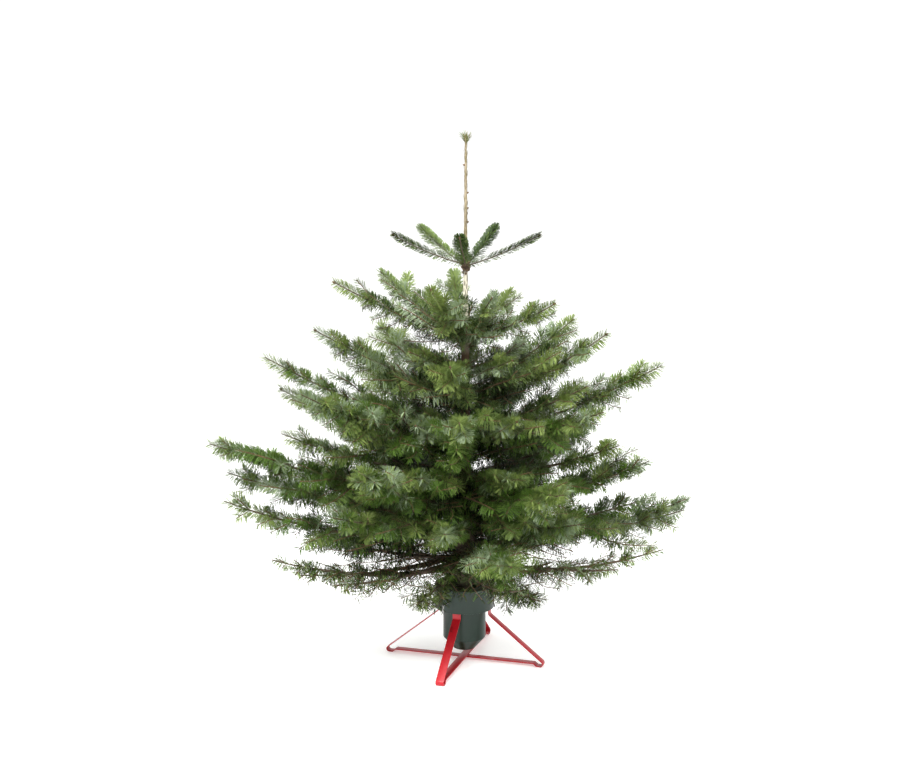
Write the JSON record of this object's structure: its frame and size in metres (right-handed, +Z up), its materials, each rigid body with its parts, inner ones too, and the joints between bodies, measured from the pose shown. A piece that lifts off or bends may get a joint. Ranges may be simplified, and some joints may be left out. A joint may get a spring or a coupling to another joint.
{
  "type": "cut fir christmas tree in a stand",
  "caption": "Cut Nordmann-type fir with a long bare leader, tiered upswept boughs and flat sprays, standing in a green water cup on red cross-strap legs.",
  "frame": {"origin": "on the floor under the foot of the trunk, at the middle of the object's base", "axes": "+Z up the trunk, +X to the right and +Y to the back as seen from the front"},
  "size_m": [1.4479, 1.1527, 1.6],
  "materials": {
    "bark": "rough grey-brown bark, paler tan on the youngest wood",
    "needles": "glossy dark green needles with a silvery underside",
    "red_paint": "gloss red paint on flat steel",
    "green_plastic": "satin dark green moulded plastic",
    "zinc": "dull zinc-plated rod"
  },
  "bodies": {
    "root": {"trunk": "bark", "foliage_1_1": "needles", "foliage_1_2": "needles", "foliage_1_3": "needles", "foliage_1_4": "needles", "foliage_1_5": "needles", "foliage_2_1": "needles", "foliage_2_2": "needles", "foliage_2_3": "needles", "foliage_2_4": "needles", "foliage_2_5": "needles", "foliage_2_6": "needles", "foliage_3_1": "needles", "foliage_3_2": "needles", "foliage_3_3": "needles", "foliage_3_4": "needles", "foliage_3_5": "needles", "foliage_4_1": "needles", "foliage_4_2": "needles", "foliage_4_3": "needles", "foliage_4_4": "needles", "foliage_4_5": "needles", "foliage_4_6": "needles", "foliage_4_7": "needles", "foliage_5_1": "needles", "foliage_5_2": "needles", "foliage_5_3": "needles", "foliage_5_4": "needles", "foliage_5_5": "needles", "foliage_5_6": "needles", "bough_6_1": "bark", "foliage_6_1": "needles", "bough_6_2": "bark", "foliage_6_2": "needles", "bough_6_3": "bark", "foliage_6_3": "needles", "bough_6_4": "bark", "foliage_6_4": "needles", "bough_6_5": "bark", "foliage_6_5": "needles", "bough_7_1": "bark", "foliage_7_1": "needles", "bough_7_2": "bark", "foliage_7_2": "needles", "bough_7_3": "bark", "foliage_7_3": "needles", "bough_7_4": "bark", "foliage_7_4": "needles", "bough_7_5": "bark", "foliage_7_5": "needles", "stand_leg_1": "red_paint", "stand_leg_2": "red_paint", "stand_leg_3": "red_paint", "stand_leg_4": "red_paint", "stand_bar_1": "red_paint", "stand_bar_2": "red_paint", "stand_cup": "green_plastic", "stand_screw_1": "zinc", "stand_screw_2": "zinc", "stand_screw_3": "zinc"}
  },
  "joints": []
}
